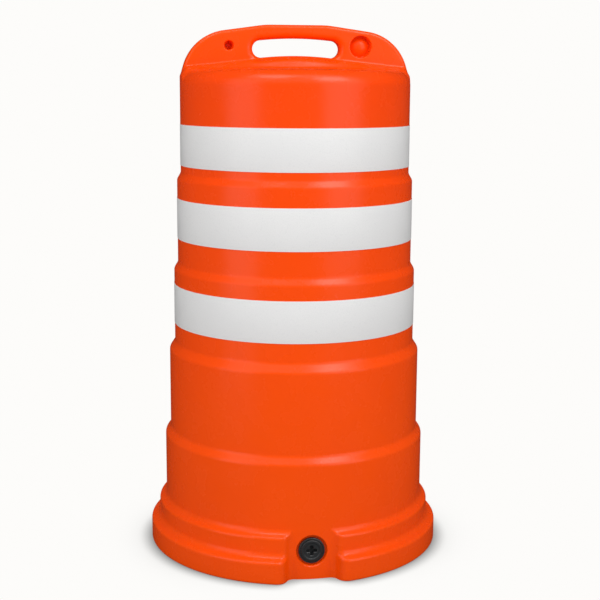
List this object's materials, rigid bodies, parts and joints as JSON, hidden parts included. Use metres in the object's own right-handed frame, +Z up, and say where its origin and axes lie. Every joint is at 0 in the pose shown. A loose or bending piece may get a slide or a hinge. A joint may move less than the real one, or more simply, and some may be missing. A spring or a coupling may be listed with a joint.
{
  "type": "water-ballasted traffic drum",
  "caption": "Hollow moulded traffic drum, stepped wider towards its foot, with reflective bands, a handle plate with a hand slot, and screwed drain and fill fittings.",
  "frame": {"origin": "centre of the foot, on the floor, on the drum's axis", "axes": "+Z up along the drum's axis, -Y to the front where the drain plug is, X along the handle plate"},
  "size_m": [0.56, 0.5535, 0.988],
  "materials": {
    "orange_polyethylene": "satin moulded polyethylene, fluorescent orange",
    "white_reflective_sheeting": "smooth retroreflective sheeting, white",
    "black_polypropylene": "satin moulded polypropylene, black",
    "black_rubber": "matt rubber, black"
  },
  "bodies": {
    "drum": {"drum_shell": "orange_polyethylene", "upper_reflective_band": "white_reflective_sheeting", "middle_reflective_band": "white_reflective_sheeting", "lower_reflective_band": "white_reflective_sheeting", "drain_bushing": "black_polypropylene", "fill_neck": "black_polypropylene"},
    "drain_seal": {"drain_gasket": "black_rubber"},
    "drain_screw": {"drain_plug": "black_polypropylene"},
    "fill_seal": {"fill_gasket": "black_rubber"},
    "fill_screw": {"fill_cap": "black_polypropylene"}
  },
  "joints": [
    {"name": "drain_travel", "type": "slide", "parent": "drum", "child": "drain_seal", "axis": [0, -1, 0], "range_m": [0, 0.016]},
    {"name": "drain_turn", "type": "hinge", "parent": "drain_seal", "child": "drain_screw", "pos_m": [0, -0.2428, 0.053], "axis": [0, -1, 0], "range_deg": [0, 1440]},
    {"name": "fill_travel", "type": "slide", "parent": "drum", "child": "fill_seal", "axis": [0, 0, 1], "range_m": [0, 0.016]},
    {"name": "fill_turn", "type": "hinge", "parent": "fill_seal", "child": "fill_screw", "pos_m": [0, 0.115, 0.91], "axis": [0, 0, 1], "range_deg": [0, 1440]}
  ],
  "couplings": [
    {"joint": "drain_travel", "follows": "drain_turn", "m_per_rad": 0.00063662},
    {"joint": "fill_travel", "follows": "fill_turn", "m_per_rad": 0.00063662}
  ]
}
